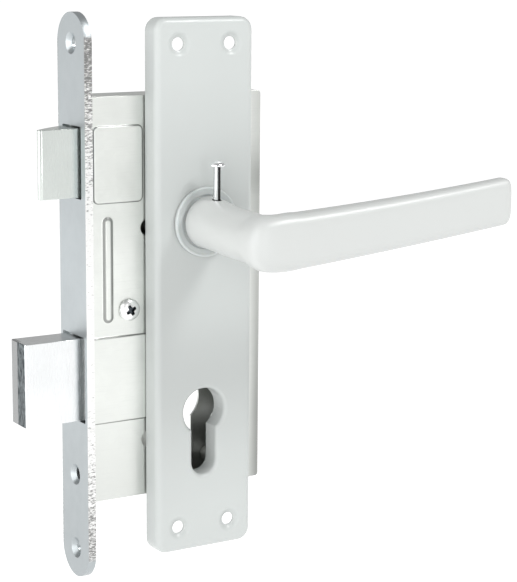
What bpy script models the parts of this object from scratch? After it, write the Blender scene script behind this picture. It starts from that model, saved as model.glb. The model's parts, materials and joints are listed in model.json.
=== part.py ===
"""Mortise sash lock with a lever handle on a long backplate.

The lock takes a euro-profile cylinder. Every piece that comes apart on the real lock is separate.

Frame: the origin is the centre of the forend's front face. +X runs from the forend into the
case, +Z is up, and -Y is the side of the door that carries the backplate and the lever.
Sizes below are in millimetres; MM turns them into metres.
"""

from math import asin, cos, pi, radians, sin

import bmesh
import bpy
from mathutils import Matrix, Vector

MM = 0.001

# Driving dimensions, in millimetres
FOREND_HEIGHT = 210.0
FOREND_WIDTH = 22.0
FOREND_THICKNESS = 3.0
FOREND_SCREW_SPACING = 188.0
BACKSET = 46.0
SPINDLE_TO_KEY = 72.0
SPINDLE_Z = 28.5
KEY_Z = SPINDLE_Z - SPINDLE_TO_KEY
CASE_HEIGHT = 150.0
CASE_BACK_X = 75.0
CASE_THICKNESS = 15.0
WALL = 1.5
SHEET = 1.0
GAP = 0.3

EURO_CIRCLE_R = 8.5
EURO_SLOT_HALF = 5.0
EURO_HEIGHT = 33.0
CYLINDER_SCREW_DROP = 22.0
CASE_KEYHOLE_PLAY = 2.0
PLATE_KEYHOLE_PLAY = 0.1

LATCH_Z = 51.5
LATCH_HEIGHT = 25.0
LATCH_REACH = 15.8
LATCH_BACK_X = 13.0
BOLT_Z = -28.2
BOLT_HEIGHT = 31.0
BOLT_REACH = 22.5
BOLT_THROW = 22.0
BOLT_HALF = 6.1

SPINDLE_HALF = 4.0
SOCKET_HALF = 4.3
SPINDLE_FRONT_Y = -47.5
SPINDLE_BACK_Y = 30.0

PLATE_WIDTH = 41.0
PLATE_HEIGHT = 200.0
PLATE_CENTRE_Z = 3.0
PLATE_BACK_Y = -8.3
PLATE_FRONT_Y = -16.5
PLATE_SHEET = 1.8
PLATE_CORNER = 5.0
PLATE_EDGE_ROUND = 2.4
KEYHOLE_WALL = 1.4

NECK_R = 9.6
JOURNAL_R = 8.0
NECK_SHOULDER_Y = -18.5
JOURNAL_END_Y = -11.6
GROOVE_R = 7.2
NECK_STRAIGHT_END_Y = -22.0
NECK_WAIST = (-36.0, 27.3, 9.0)
NECK_BEND_Z = 26.9
BEND_INNER_R = 1.5
CORNER_POWER = 6.0
SECTION_POWER = 3.4
BEND_SWELL = 0.5
ARM_Y = -61.5
ARM_END_X = 150.8
ARM_HALF_START = (6.3, 9.9)
ARM_HALF_END = (4.6, 8.9)
ARM_START_Z = 26.3
ARM_END_Z = 35.0
ARM_SAG = 0.6
ARM_WAIST = 0.15
TIP_ROUND = 3.0
PIN_Y = -25.0
PIN_R = 1.5
PIN_HEAD_R = 3.0
PIN_HEAD_Z = 49.8
PIN_TIP_Z = 32.2
PIN_HOLE_R = PIN_R + GAP

# Derived places
CASE_FRONT_X = FOREND_THICKNESS + GAP
CASE_HALF = CASE_THICKNESS / 2
CASE_HALF_Z = CASE_HEIGHT / 2
COVER_BACK_Y = -CASE_HALF + SHEET
TRAY_OPEN_Y = COVER_BACK_Y + GAP
TRAY_FLOOR_Y = CASE_HALF - SHEET
INNER_Y = TRAY_FLOOR_Y - GAP
PAD_FRONT_Y = -CASE_HALF - 0.5
PLATE_X0 = BACKSET - PLATE_WIDTH / 2
PLATE_X1 = BACKSET + PLATE_WIDTH / 2

# Fastening places in the case, as (x, z)
CASE_FIXING_HOLES = ((27.0, 26.5), (65.0, 26.5), (27.0, -53.7), (65.0, -53.7))
CASE_FIXING_R = 3.2
COVER_SCREWS = ((18.8, -3.5), (60.0, 66.0), (60.0, -67.0))
SCREW_SHANK_R = 1.6
SCREW_SHANK_LENGTH = 7.0
SCREW_HEAD_R = 4.1
SCREW_HEAD_H = 2.2
SCREW_RIM = 0.8
POST_R = 3.1
PLATE_SCREW_DX = 10.8
PLATE_SCREW_DZ = 90.5

# Places of the working parts inside the case
TAIL_HALF = 1.5
PLATE_IN_CASE_Y = -5.6
GUIDE_X = 38.0
FINGER_LENGTH = 23.4
FINGER_HALF = 2.4
STUD_X = 37.0
STUD_Z = -20.0
STUD_R = 2.8
CAM_NOTCH_X = 29.5
TUMBLER_NOTCH_X = 10.5
TUMBLER_PIVOT = (64.0, -9.0)
LOWER_SPRING_Z = 14.2

PARTS = "mortise_lock_with_lever"
CUTTERS = "cutters"

MATERIALS = {
    "zinc_forend": ((0.56, 0.60, 0.64), 0.32, 1.0),
    "zinc_sheet": ((0.74, 0.75, 0.73), 0.38, 1.0),
    "nickel_bolt": ((0.80, 0.82, 0.82), 0.22, 1.0),
    "steel_inner": ((0.50, 0.50, 0.49), 0.45, 1.0),
    "spring_steel": ((0.30, 0.31, 0.33), 0.35, 1.0),
    "white_paint": ((0.84, 0.86, 0.85), 0.38, 0.0),
    "white_nylon": ((0.82, 0.83, 0.82), 0.50, 0.0),
    "chrome": ((0.90, 0.91, 0.92), 0.06, 1.0),
}


def clear_scene():
    for obj in list(bpy.data.objects):
        bpy.data.objects.remove(obj, do_unlink=True)


def collection(name):
    found = bpy.data.collections.get(name)
    if found is None:
        found = bpy.data.collections.new(name)
        bpy.context.scene.collection.children.link(found)
    return found


def material(slot):
    found = bpy.data.materials.get(slot)
    if found is not None:
        return found
    colour, roughness, metallic = MATERIALS[slot]
    made = bpy.data.materials.new(slot)
    made.use_nodes = True
    shader = made.node_tree.nodes["Principled BSDF"]
    shader.inputs["Base Color"].default_value = (*colour, 1.0)
    shader.inputs["Roughness"].default_value = roughness
    shader.inputs["Metallic"].default_value = metallic
    made.diffuse_color = (*colour, 1.0)
    return made


def part(name, mesh, slot, origin=(0.0, 0.0, 0.0)):
    """A named piece from a mesh in world millimetres already scaled to metres, with its origin moved."""
    place = Vector(origin) * MM
    mesh.transform(Matrix.Translation(-place))
    obj = bpy.data.objects.new(name, mesh)
    obj.location = place
    collection(PARTS).objects.link(obj)
    mesh.materials.clear()
    mesh.materials.append(material(slot))
    mesh.shade_smooth()
    mesh.set_sharp_from_angle(angle=radians(35))
    return obj


def cutter(name, mesh):
    obj = bpy.data.objects.new(name, mesh)
    collection(CUTTERS).objects.link(obj)
    obj.hide_render = True
    obj.display_type = "WIRE"
    return obj


def apply_boolean(obj, name, mesh, operation):
    modifier = obj.modifiers.new(name, "BOOLEAN")
    modifier.operation = operation
    modifier.solver = "EXACT"
    modifier.object = cutter(f"{obj.name}_{name}", mesh)


def cut(obj, name, mesh):
    apply_boolean(obj, name, mesh, "DIFFERENCE")


def join(obj, name, mesh):
    apply_boolean(obj, name, mesh, "UNION")


# Meshes


def mesh_from(builder, name="mesh"):
    mesh = bpy.data.meshes.new(name)
    builder.to_mesh(mesh)
    builder.free()
    return mesh


def box(x, y, z):
    """A box between the (low, high) pairs x, y and z."""
    builder = bmesh.new()
    bmesh.ops.create_cube(builder, size=1.0)
    size = Vector((x[1] - x[0], y[1] - y[0], z[1] - z[0])) * MM
    centre = Vector((x[0] + x[1], y[0] + y[1], z[0] + z[1])) * MM / 2
    bmesh.ops.scale(builder, vec=size, verts=builder.verts)
    bmesh.ops.translate(builder, vec=centre, verts=builder.verts)
    return mesh_from(builder)


AXIS_TURNS = {
    "X": Matrix(((0, 0, 1, 0), (1, 0, 0, 0), (0, 1, 0, 0), (0, 0, 0, 1))),
    "Y": Matrix.Rotation(pi / 2, 4, "X"),
    "Z": Matrix.Identity(4),
}


def along(axis, distance):
    return Vector([distance if axis == name else 0.0 for name in "XYZ"])


def rod(axis, centre, radius, low, high, segments=24):
    """A round bar along an axis, between two places on it."""
    builder = bmesh.new()
    bmesh.ops.create_cone(
        builder,
        cap_ends=True,
        segments=segments,
        radius1=radius * MM,
        radius2=radius * MM,
        depth=(high - low) * MM,
    )
    middle = Vector(centre) + along(axis, (low + high) / 2)
    turn = Matrix.Translation(middle * MM) @ AXIS_TURNS[axis]
    bmesh.ops.transform(builder, matrix=turn, verts=builder.verts)
    return mesh_from(builder)


def prism(axis, loops, low, high):
    """A flat outline with holes, extruded along an axis. Loops hold (x, z), (y, z) or (x, y) pairs."""
    curve = bpy.data.curves.new("outline", "CURVE")
    curve.dimensions = "2D"
    curve.fill_mode = "BOTH"
    curve.extrude = (high - low) / 2 * MM
    for loop in loops:
        spline = curve.splines.new("POLY")
        spline.points.add(len(loop) - 1)
        for point, (across, up) in zip(spline.points, loop):
            point.co = (across * MM, up * MM, 0.0, 1.0)
        spline.use_cyclic_u = True
    holder = bpy.data.objects.new("outline", curve)
    bpy.context.scene.collection.objects.link(holder)
    evaluated = holder.evaluated_get(bpy.context.evaluated_depsgraph_get())
    mesh = bpy.data.meshes.new_from_object(evaluated)
    bpy.data.objects.remove(holder, do_unlink=True)
    bpy.data.curves.remove(curve)
    middle = along(axis, (low + high) / 2) * MM
    mesh.transform(Matrix.Translation(middle) @ AXIS_TURNS[axis])
    builder = bmesh.new()
    builder.from_mesh(mesh)
    bmesh.ops.remove_doubles(builder, verts=builder.verts, dist=1e-6)
    bmesh.ops.recalc_face_normals(builder, faces=builder.faces)
    builder.to_mesh(mesh)
    builder.free()
    return mesh


def loft(rings):
    """A closed skin through rings of equal count, capped at both ends."""
    builder = bmesh.new()
    rows = [[builder.verts.new(Vector(point) * MM) for point in ring] for ring in rings]
    count = len(rows[0])
    for lower, upper in zip(rows, rows[1:]):
        for i in range(count):
            j = (i + 1) % count
            builder.faces.new((lower[i], lower[j], upper[j], upper[i]))
    builder.faces.new(list(reversed(rows[0])))
    builder.faces.new(rows[-1])
    bmesh.ops.recalc_face_normals(builder, faces=builder.faces)
    return mesh_from(builder)


def turned(name, profile, slot, centre, closed=False, steps=32):
    """A piece turned about the Y direction. Its profile is (radius, distance towards -Y) pairs."""
    builder = bmesh.new()
    verts = [builder.verts.new((r * MM, 0.0, h * MM)) for r, h in profile]
    for first, second in zip(verts, verts[1:]):
        builder.edges.new((first, second))
    if closed:
        builder.edges.new((verts[-1], verts[0]))
    mesh = mesh_from(builder, name)
    mesh.materials.append(material(slot))
    obj = bpy.data.objects.new(name, mesh)
    collection(PARTS).objects.link(obj)
    obj.location = Vector(centre) * MM
    obj.rotation_euler = (pi / 2, 0.0, 0.0)
    screw = obj.modifiers.new("turn", "SCREW")
    screw.axis = "Z"
    screw.steps = steps
    screw.render_steps = steps
    screw.use_merge_vertices = True
    screw.merge_threshold = 1e-6
    return obj


def wire(name, points, wire_r):
    """A bent wire through points."""
    curve = bpy.data.curves.new(name, "CURVE")
    curve.dimensions = "3D"
    curve.bevel_depth = wire_r * MM
    curve.bevel_resolution = 1
    curve.use_fill_caps = True
    spline = curve.splines.new("POLY")
    spline.points.add(len(points) - 1)
    for point, place in zip(spline.points, points):
        point.co = (*(Vector(place) * MM), 1.0)
    curve.materials.append(material("spring_steel"))
    obj = bpy.data.objects.new(name, curve)
    collection(PARTS).objects.link(obj)


def coil(name, start_x, end_x, centre_z, radius, wire_r, turns, points_per_turn=10):
    """A compression spring along X, midway through the case's thickness."""
    count = turns * points_per_turn
    points = []
    for i in range(count + 1):
        angle = 2 * pi * i / points_per_turn
        x = blend(start_x, end_x, i / count)
        points.append((x, radius * cos(angle), centre_z + radius * sin(angle)))
    wire(name, points, wire_r)


# Outlines, as loops of pairs


def blend(start, end, share):
    return start + (end - start) * share


def arc(centre, radius, start, end, steps):
    """Points on an arc between two angles in degrees, both ends included."""
    angles = [radians(start + (end - start) * i / steps) for i in range(steps + 1)]
    return [(centre[0] + radius * cos(a), centre[1] + radius * sin(a)) for a in angles]


def circle(centre, radius, steps=24):
    return arc(centre, radius, 0, 360 * (steps - 1) / steps, steps - 1)


def socket_loop():
    """The square hole that takes the spindle."""
    x0, x1 = BACKSET - SOCKET_HALF, BACKSET + SOCKET_HALF
    z0, z1 = SPINDLE_Z - SOCKET_HALF, SPINDLE_Z + SOCKET_HALF
    return [(x0, z0), (x1, z0), (x1, z1), (x0, z1)]


def rounded_rectangle(low, high, radius, steps=5):
    x0, z0 = low
    x1, z1 = high
    corners = (
        ((x1 - radius, z1 - radius), 0),
        ((x0 + radius, z1 - radius), 90),
        ((x0 + radius, z0 + radius), 180),
        ((x1 - radius, z0 + radius), 270),
    )
    return [p for centre, start in corners for p in arc(centre, radius, start, start + 90, steps)]


def stadium(low, high, radius, steps=10):
    """A slot outline round the line between two points that lie level or upright."""
    upright = abs(high[1] - low[1]) > abs(high[0] - low[0])
    start = 0 if upright else -90
    return arc(high, radius, start, start + 180, steps) + arc(
        low, radius, start + 180, start + 360, steps
    )


def euro_profile(grow=0.0):
    """The euro cylinder's outline at the key place, grown all round."""
    circle_r = EURO_CIRCLE_R + grow
    half = EURO_SLOT_HALF + grow
    neck = asin(half / circle_r) * 180 / pi
    foot = (BACKSET, KEY_Z + EURO_CIRCLE_R - EURO_HEIGHT + EURO_SLOT_HALF)
    head = arc((BACKSET, KEY_Z), circle_r, neck - 90, 270 - neck, 20)
    return head + arc(foot, half, 180, 360, 10)


def at_y(loop, y):
    return [(x, y, z) for x, z in loop]


# The pieces of the case


def make_forend():
    half = FOREND_WIDTH / 2
    end_z = FOREND_HEIGHT / 2 - half
    outline = stadium((0.0, -end_z), (0.0, end_z), half, 14)
    latch_hole = rounded_rectangle(
        (-7.5, LATCH_Z - LATCH_HEIGHT / 2 - 0.6), (7.5, LATCH_Z + LATCH_HEIGHT / 2 + 0.6), 0.6, 2
    )
    bolt_hole = rounded_rectangle(
        (-9.0, BOLT_Z - BOLT_HEIGHT / 2 - 0.6), (9.0, BOLT_Z + BOLT_HEIGHT / 2 + 0.6), 0.6, 2
    )
    forend = part(
        "forend", prism("X", [outline, latch_hole, bolt_hole], 0.0, FOREND_THICKNESS), "zinc_forend"
    )
    places = (FOREND_SCREW_SPACING / 2, -FOREND_SCREW_SPACING / 2, KEY_Z - CYLINDER_SCREW_DROP)
    for i, z in enumerate(places, 1):
        rings = []
        for x, radius in ((-1.0, 4.9), (1.7, 2.4), (FOREND_THICKNESS + 1.0, 2.4)):
            rings.append([(x, y, v) for y, v in circle((0.0, z), radius)])
        cut(forend, f"screw_hole_{i}", loft(rings))


def make_case_body():
    body = part(
        "case_body",
        box((CASE_FRONT_X, CASE_BACK_X), (TRAY_OPEN_Y, CASE_HALF), (-CASE_HALF_Z, CASE_HALF_Z)),
        "zinc_sheet",
    )
    inner_z = CASE_HALF_Z - WALL
    cut(
        body,
        "cavity",
        box(
            (CASE_FRONT_X + WALL, CASE_BACK_X - WALL),
            (TRAY_OPEN_Y - 1.0, TRAY_FLOOR_Y),
            (-inner_z, inner_z),
        ),
    )
    for name, z, height in (("latch", LATCH_Z, LATCH_HEIGHT), ("bolt", BOLT_Z, BOLT_HEIGHT)):
        half = height / 2 + 0.4
        window = box((CASE_FRONT_X - 1.0, CASE_FRONT_X + WALL + 0.5), (-8.0, 6.4), (z - half, z + half))
        cut(body, f"{name}_window", window)
    cut(body, "keyhole", prism("Y", [euro_profile(CASE_KEYHOLE_PLAY)], 0.0, CASE_HALF + 1.0))
    cut(body, "hub_hole", rod("Y", (BACKSET, 0, SPINDLE_Z), 8.6, 0.0, CASE_HALF + 1.0, 32))
    for i, (x, z) in enumerate(CASE_FIXING_HOLES, 1):
        cut(body, f"fixing_hole_{i}", rod("Y", (x, 0, z), CASE_FIXING_R, 0.0, CASE_HALF + 1.0))
    screw_z = KEY_Z - CYLINDER_SCREW_DROP
    hole = rod("X", (0, 0, screw_z), 2.8, CASE_FRONT_X - 1.0, CASE_FRONT_X + WALL + 0.5)
    cut(body, "cylinder_screw_hole", hole)


def make_case_cover():
    outline = rounded_rectangle(
        (CASE_FRONT_X, -CASE_HALF_Z), (CASE_BACK_X, CASE_HALF_Z), 1.2, 3
    )
    cover = part("case_cover", prism("Y", [outline], -CASE_HALF, COVER_BACK_Y), "zinc_sheet")
    base_y = -CASE_HALF + 0.4
    pads = {
        "latch_pad": rounded_rectangle((CASE_FRONT_X + 1.4, 36.4), (24.7, 64.4), 2.0),
        "bolt_pad": rounded_rectangle((CASE_FRONT_X + 1.4, -45.4), (62.0, -13.1), 2.0),
        "rib": stadium((10.4, -5.7), (10.4, 29.4), 2.2),
    }
    for name, loop in pads.items():
        mesh = prism("Y", [loop], PAD_FRONT_Y, base_y)
        join(cover, name, mesh)
        tool = bpy.data.objects[f"case_cover_{name}"]
        bevel = tool.modifiers.new("slope", "BEVEL")
        bevel.width = 0.4 * MM
        bevel.segments = 1
        bevel.limit_method = "ANGLE"
        bevel.angle_limit = radians(60)
    low, high = PAD_FRONT_Y - 1.0, COVER_BACK_Y + 1.0
    cut(cover, "keyhole", prism("Y", [euro_profile(CASE_KEYHOLE_PLAY)], low, high))
    cut(cover, "hub_hole", rod("Y", (BACKSET, 0, SPINDLE_Z), 8.6, low, high, 32))
    for i, (x, z) in enumerate(CASE_FIXING_HOLES, 1):
        cut(cover, f"fixing_hole_{i}", rod("Y", (x, 0, z), CASE_FIXING_R, low, high))
    for i, (x, z) in enumerate(COVER_SCREWS, 1):
        cut(cover, f"screw_hole_{i}", rod("Y", (x, 0, z), SCREW_SHANK_R + 0.4, low, high))


def cross_loop(centre, arm, half, turn):
    """The outline of a crosshead recess, turned by some degrees."""
    x, z = centre
    points = []
    for quarter in range(4):
        angle = radians(turn + 90 * quarter)
        for across, out in ((-half, arm), (half, arm), (half, half)):
            points.append(
                (x + out * cos(angle) - across * sin(angle), z + out * sin(angle) + across * cos(angle))
            )
    return points


def dome(radius, base, height, steps=5):
    """The upper half of a rounded head's profile, from its crown out to its rim."""
    angles = [pi / 2 * step / steps for step in range(steps + 1)]
    return [(radius * sin(angle), base + height * cos(angle)) for angle in angles]


def make_cover_screws():
    seat_y = -CASE_HALF - GAP
    shank = [
        (SCREW_HEAD_R, 0.0),
        (SCREW_SHANK_R, 0.0),
        (SCREW_SHANK_R, -SCREW_SHANK_LENGTH),
        (0.0, -SCREW_SHANK_LENGTH - 0.6),
    ]
    profile = dome(SCREW_HEAD_R, SCREW_RIM, SCREW_HEAD_H - SCREW_RIM) + shank
    for i, (x, z) in enumerate(COVER_SCREWS, 1):
        screw = turned(f"cover_screw_{i}", profile, "nickel_bolt", (x, seat_y, z), steps=24)
        recess = prism("Y", [cross_loop((x, z), 2.5, 0.55, 28)], seat_y - SCREW_HEAD_H - 1.0, seat_y - 0.9)
        cut(screw, "recess", recess)
        post = part(f"screw_post_{i}", rod("Y", (x, 0, z), POST_R, TRAY_OPEN_Y, INNER_Y), "steel_inner")
        thread_r = SCREW_SHANK_R + 0.25
        cut(post, "thread_hole", rod("Y", (x, 0, z), thread_r, TRAY_OPEN_Y - 1.0, 1.5, 16))


# The latch and what pulls it back


def make_latch():
    low, high = LATCH_Z - LATCH_HEIGHT / 2, LATCH_Z + LATCH_HEIGHT / 2
    half = BOLT_HALF
    slope_start, slope_end = (-1.0, half), (-LATCH_REACH, -4.2)
    slope = []
    for step in range(5):
        share = step / 4
        bulge = 0.8 * 4 * share * (1 - share)
        x = blend(slope_start[0], slope_end[0], share)
        slope.append((x, blend(slope_start[1], slope_end[1], share) + bulge))
    outline = [(-LATCH_REACH + 0.5, -half), (LATCH_BACK_X, -half), (LATCH_BACK_X, half)] + slope
    outline.append((-LATCH_REACH, -half + 0.5))
    latch = part("latch_bolt", prism("Z", [outline], low, high), "nickel_bolt")
    rod_half = 1.6
    rod_z = (LATCH_Z - rod_half, LATCH_Z + rod_half)
    join(latch, "rod", box((LATCH_BACK_X - 1.0, GUIDE_X + 3.0), (-rod_half, rod_half), rod_z))
    hook = [
        (GUIDE_X + 2.0, LATCH_Z - rod_half),
        (42.3, LATCH_Z - rod_half),
        (42.3, 53.4),
        (50.4, 53.4),
        (50.4, 44.3),
        (48.8, 44.3),
        (48.8, 40.8),
        (53.8, 40.8),
        (53.8, 57.4),
        (GUIDE_X + 2.0, 57.4),
    ]
    join(latch, "hook", prism("Y", [hook], -TAIL_HALF, TAIL_HALF))
    guide_box = box((GUIDE_X, GUIDE_X + WALL), (PLATE_IN_CASE_Y, INNER_Y), (44.0, 59.0))
    guide = part("latch_guide", guide_box, "steel_inner")
    hole = rod_half + 0.5
    hole_z = (LATCH_Z - hole, LATCH_Z + hole)
    cut(guide, "rod_hole", box((GUIDE_X - 1.0, GUIDE_X + WALL + 1.0), (-hole, hole), hole_z))
    coil("latch_spring", LATCH_BACK_X + 0.8, GUIDE_X - 0.8, LATCH_Z, 3.3, 0.4, 8)


def make_follower():
    reach = FINGER_LENGTH
    hub_r = 11.0
    top = SPINDLE_Z + reach
    bottom = SPINDLE_Z - 17.5
    x0, x1 = BACKSET - FINGER_HALF, BACKSET + FINGER_HALF
    side = asin(FINGER_HALF / hub_r) * 180 / pi
    centre = (BACKSET, SPINDLE_Z)
    right = arc(centre, hub_r, side - 90, 90 - side, 12)
    left = arc(centre, hub_r, 90 + side, 270 - side, 12)
    outline = right + [(x1, top), (x0, top)] + left + [(x0, bottom), (x1, bottom)]
    follower = part("follower", prism("Y", [outline], -2.5, 2.5), "steel_inner", (BACKSET, 0, SPINDLE_Z))
    join(follower, "journal", rod("Y", (BACKSET, 0, SPINDLE_Z), 8.2, -7.3, 7.3, 32))
    cut(follower, "spindle_hole", prism("Y", [socket_loop()], -9.0, 9.0))
    seat_x = 22.5
    seat_z = (LOWER_SPRING_Z - 5, LOWER_SPRING_Z + 5)
    seat = box((seat_x, seat_x + WALL), (PLATE_IN_CASE_Y, INNER_Y), seat_z)
    part("follower_spring_seat", seat, "steel_inner")
    coil("follower_spring", seat_x + WALL + 0.8, x0 - 0.8, LOWER_SPRING_Z, 3.0, 0.45, 6)
    stop_r = 2.0
    stop = rod("Y", (x1 + GAP + stop_r, 0, LOWER_SPRING_Z), stop_r, TRAY_OPEN_Y, INNER_Y, 16)
    part("follower_stop", stop, "steel_inner")


# The deadbolt and its tumbler


def make_deadbolt():
    half = BOLT_HALF
    low, high = BOLT_Z - BOLT_HEIGHT / 2, BOLT_Z + BOLT_HEIGHT / 2
    round_r = 0.6
    end = arc((-BOLT_REACH + round_r, half - round_r), round_r, 90, 180, 5)
    bevel = 0.8
    outline = [(8.0, -half), (8.0, half)] + end
    outline += [(-BOLT_REACH, -half + bevel), (-BOLT_REACH + bevel, -half)]
    bolt = part("deadbolt", prism("Z", [outline], low, high), "nickel_bolt")
    tail_low, tail_high = -33.5, -13.0
    join(bolt, "tail", box((7.0, 50.0), (-TAIL_HALF, TAIL_HALF), (tail_low, tail_high)))
    slot = stadium((STUD_X - BOLT_THROW, STUD_Z), (STUD_X, STUD_Z), STUD_R + 0.4)
    cut(bolt, "stud_slot", prism("Y", [slot], -3.0, 3.0))
    for i in range(2):
        x = CAM_NOTCH_X + i * BOLT_THROW / 2
        notch = [
            (x - 5.0, tail_low - 1),
            (x + 5.0, tail_low - 1),
            (x + 3.6, tail_low + 5.2),
            (x - 3.6, tail_low + 5.2),
        ]
        cut(bolt, f"cam_notch_{i + 1}", prism("Y", [notch], -3.0, 3.0))
    for i in range(3):
        x = TUMBLER_NOTCH_X + i * BOLT_THROW / 2
        notch = box((x - 2.2, x + 2.2), (-3.0, 3.0), (tail_high - 1.8, tail_high + 1))
        cut(bolt, f"tumbler_notch_{i + 1}", notch)
    part("bolt_stud", rod("Y", (STUD_X, 0, STUD_Z), STUD_R, TRAY_OPEN_Y, INNER_Y), "steel_inner")


def make_tumbler():
    px, pz = TUMBLER_PIVOT
    arm_low, arm_high = -14.0, -8.0
    outline = arc((px, pz), 5.0, -90, 90, 8) + [
        (58.0, arm_high),
        (31.0, arm_high),
        (31.0, -12.5),
        (40.0, arm_low + 0.6),
        (42.5, -28.6),
        (49.5, -28.6),
        (54.0, arm_low),
    ]
    pivot_hole = circle(TUMBLER_PIVOT, 2.3, 16)
    tumbler = part("tumbler", prism("Y", [outline, pivot_hole], 2.2, 3.7), "steel_inner", (px, 0, pz))
    join(tumbler, "stump", box((31.5, 34.5), (-1.4, 2.9), (-12.4, -9.4)))
    part("tumbler_pivot", rod("Y", (px, 0, pz), 2.0, TRAY_OPEN_Y, INNER_Y, 16), "steel_inner")
    spring = ((70.0, 3.0), (69.2, -0.4), (66.0, -2.4), (58.0, -4.2), (48.0, -6.0), (38.0, -7.2))
    wire("tumbler_spring", at_y(spring, 2.95), 0.4)


# The backplate, the lever and their fastenings


def plate_loop(inset, corner):
    half = PLATE_HEIGHT / 2 - inset
    return rounded_rectangle(
        (PLATE_X0 + inset, PLATE_CENTRE_Z - half), (PLATE_X1 - inset, PLATE_CENTRE_Z + half), corner, 6
    )


def plate_rings(inset, back, front, edge_round, corner):
    rings = [at_y(plate_loop(inset, corner), back)]
    for step in range(5):
        angle = pi / 2 * step / 4
        shrink = edge_round * (1 - cos(angle))
        y = front + edge_round * (1 - sin(angle))
        rings.append(at_y(plate_loop(inset + shrink, max(corner - shrink, 0.6)), y))
    return rings


def make_backplate():
    shell = plate_rings(0.0, PLATE_BACK_Y, PLATE_FRONT_Y, PLATE_EDGE_ROUND, PLATE_CORNER)
    plate = part("backplate", loft(shell), "white_paint")
    inner = plate_rings(
        PLATE_SHEET, PLATE_BACK_Y + 1.0, PLATE_FRONT_Y + PLATE_SHEET, 1.2, PLATE_CORNER - PLATE_SHEET
    )
    cut(plate, "hollow", loft(inner))
    cut(plate, "neck_hole", rod("Y", (BACKSET, 0, SPINDLE_Z), 9.7, -20.0, -12.0, 32))
    wall_outline = euro_profile(PLATE_KEYHOLE_PLAY + KEYHOLE_WALL)
    join(plate, "keyhole_wall", prism("Y", [wall_outline], PLATE_FRONT_Y + 1.0, PLATE_BACK_Y - GAP))
    rim, play = 1.1, PLATE_KEYHOLE_PLAY
    rings = [at_y(euro_profile(play), PLATE_BACK_Y + 1.0)]
    for step in range(4):
        angle = pi / 2 * step / 3
        grow = play + rim * (1 - cos(angle))
        rings.append(at_y(euro_profile(grow), PLATE_FRONT_Y + rim * (1 - sin(angle))))
    rings.append(at_y(euro_profile(play + rim), PLATE_FRONT_Y - 1.0))
    cut(plate, "keyhole", loft(rings))
    stages = ((-12.0, 2.4), (PLATE_FRONT_Y + 0.9, 2.4), (PLATE_FRONT_Y - 0.3, 3.7))
    for i, (side, end) in enumerate(((-1, -1), (-1, 1), (1, -1), (1, 1)), 1):
        centre = (BACKSET + side * PLATE_SCREW_DX, PLATE_CENTRE_Z + end * PLATE_SCREW_DZ)
        cut(plate, f"screw_hole_{i}", loft([at_y(circle(centre, r), y) for y, r in stages]))


def make_neck_collar():
    sleeve_in, sleeve_out, flange_r = 8.3, 9.4, 13.0
    seat, sleeve_end = 0.0, -2.6
    profile = [
        (9.9, 1.0),
        (11.6, 1.0),
        (12.1, 1.4),
        (12.6, 1.4),
        (flange_r, 1.0),
        (flange_r, seat),
        (sleeve_out, seat),
        (sleeve_out, sleeve_end),
        (sleeve_in, sleeve_end),
        (sleeve_in, 1.0),
    ]
    centre = (BACKSET, PLATE_FRONT_Y - GAP, SPINDLE_Z)
    turned("neck_collar", profile, "white_nylon", centre, closed=True, steps=40)
    ring = [(7.6, 0.7), (9.3, 0.7), (9.3, 0.0), (7.6, 0.0)]
    clip = turned("retaining_ring", ring, "spring_steel", (BACKSET, -13.0, SPINDLE_Z), closed=True)
    cut(clip, "mouth", box((BACKSET - 2.5, BACKSET + 2.5), (-15.0, -12.0), (SPINDLE_Z - 12, SPINDLE_Z)))


def superellipse(centre, across, half_across, half_up, power, count=28):
    """A ring of points round a centre, flattened towards a rectangle as the power rises above 2."""
    ring = []
    for i in range(count):
        angle = 2 * pi * i / count
        c, s = cos(angle), sin(angle)
        u = half_across * abs(c) ** (2 / power) * (1 if c >= 0 else -1)
        v = half_up * abs(s) ** (2 / power) * (1 if s >= 0 else -1)
        ring.append(Vector(centre) + Vector(across) * u + Vector((0, 0, v)))
    return ring


def neck_rings():
    """The journal that turns in the collar, its clip groove, and the round neck."""
    stations = (
        (JOURNAL_END_Y, JOURNAL_R - 0.4),
        (JOURNAL_END_Y - 0.4, JOURNAL_R),
        (-12.7, JOURNAL_R),
        (-12.7, GROOVE_R),
        (-14.0, GROOVE_R),
        (-14.0, JOURNAL_R),
        (NECK_SHOULDER_Y, JOURNAL_R),
        (NECK_SHOULDER_Y, NECK_R - 0.4),
        (NECK_SHOULDER_Y - 0.4, NECK_R),
        (NECK_STRAIGHT_END_Y, NECK_R),
    )
    rings = [superellipse((BACKSET, y, SPINDLE_Z), (1, 0, 0), r, r, 2.0) for y, r in stations]
    waist_y, waist_z, waist_half_up = NECK_WAIST
    rings.append(superellipse((BACKSET, waist_y, waist_z), (1, 0, 0), NECK_R, waist_half_up, 2.0))
    return rings


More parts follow.
